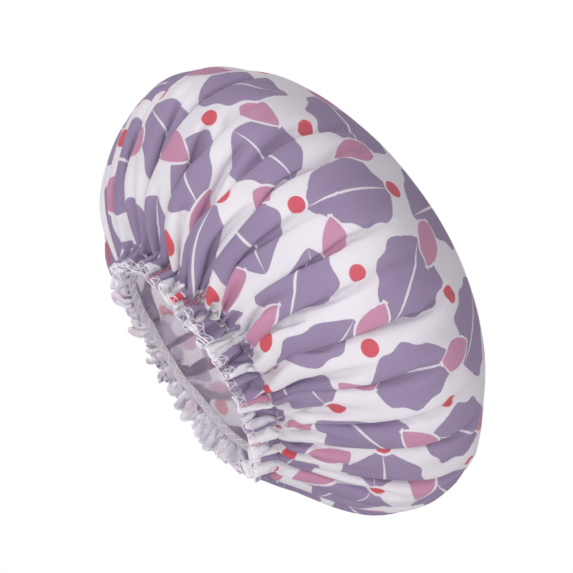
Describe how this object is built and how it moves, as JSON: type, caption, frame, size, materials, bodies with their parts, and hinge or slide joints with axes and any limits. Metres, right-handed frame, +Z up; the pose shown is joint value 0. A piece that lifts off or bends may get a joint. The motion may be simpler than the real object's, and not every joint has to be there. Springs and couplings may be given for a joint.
{
  "type": "shower cap",
  "caption": "Bouffant shower cap: printed cloth cover over a waterproof film liner, gathered on a sewn-in elastic with an overlocked frill round the head opening.",
  "frame": {"origin": "centre of the head opening, level with the overlocked edge that the cap stands on", "axes": "+Z up through the crown, -Y towards the wearer's forehead, +X towards the wearer's left"},
  "size_m": [0.2594, 0.2598, 0.1514],
  "materials": {
    "printed_cloth": "matte woven cotton with a lilac, pink and red print on white",
    "liner_film": "thin translucent film, satin",
    "elastic": "ribbed woven elastic",
    "sewing_thread": "white polyester thread"
  },
  "bodies": {
    "root": {"outer_cover": "printed_cloth", "waterproof_liner": "liner_film", "elastic_band": "elastic", "elastic_seam_thread": "sewing_thread", "elastic_join_bartack": "sewing_thread", "casing_stitch_thread": "sewing_thread", "overlock_needle_thread": "sewing_thread", "overlock_looper_thread": "sewing_thread"}
  },
  "joints": []
}
